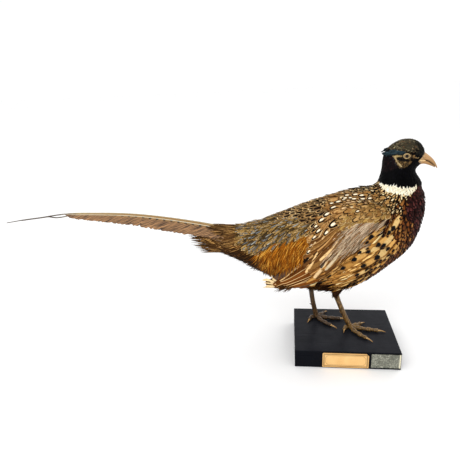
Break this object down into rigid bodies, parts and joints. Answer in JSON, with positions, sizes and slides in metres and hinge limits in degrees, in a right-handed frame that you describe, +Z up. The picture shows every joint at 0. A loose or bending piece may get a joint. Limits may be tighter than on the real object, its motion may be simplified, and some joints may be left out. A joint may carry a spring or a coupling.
{
  "type": "taxidermy pheasant",
  "caption": "Life-size standing mount of a male ring-necked pheasant on a rectangular wooden block with a bare paper label.",
  "frame": {"origin": "centre of the block's underside", "axes": "+X the way the bird faces, along the block's long side; +Y the bird's left; +Z up"},
  "size_m": [0.7412, 0.1564, 0.3605],
  "materials": {
    "painted_block": "satin",
    "label_paper": "matte",
    "marbled_paper": "matte",
    "neck_feathers": "matte",
    "head_feathers": "matte",
    "glass_eye": "polished",
    "horn": "satin",
    "wing_feathers": "matte",
    "body_feathers": "matte",
    "thigh_feathers": "matte",
    "leg_scales": "satin",
    "tail_feathers": "matte"
  },
  "bodies": {
    "root": {"base_block": "painted_block", "label_paper": "label_paper", "marbled_paper": "marbled_paper", "neck": "neck_feathers", "head": "head_feathers", "eye_right": "glass_eye", "eye_left": "glass_eye", "bill_upper": "horn", "bill_lower": "horn", "ear_tuft_right": "neck_feathers", "ear_tuft_left": "neck_feathers", "wing_right": "wing_feathers", "wing_left": "wing_feathers", "rump": "body_feathers", "trunk": "body_feathers", "thigh_right": "thigh_feathers", "shank_right": "leg_scales", "foot_right": "leg_scales", "claw_right_outer": "horn", "claw_right_middle": "horn", "claw_right_inner": "horn", "claw_right_hind": "horn", "thigh_left": "thigh_feathers", "shank_left": "leg_scales", "foot_left": "leg_scales", "claw_left_outer": "horn", "claw_left_middle": "horn", "claw_left_inner": "horn", "claw_left_hind": "horn", "tail_1_right": "tail_feathers", "tail_1_left": "tail_feathers", "tail_2_right": "tail_feathers", "tail_2_left": "tail_feathers", "tail_3_right": "tail_feathers", "tail_3_left": "tail_feathers", "tail_4_right": "tail_feathers", "tail_4_left": "tail_feathers", "tail_5_right": "tail_feathers", "tail_5_left": "tail_feathers"}
  },
  "joints": []
}
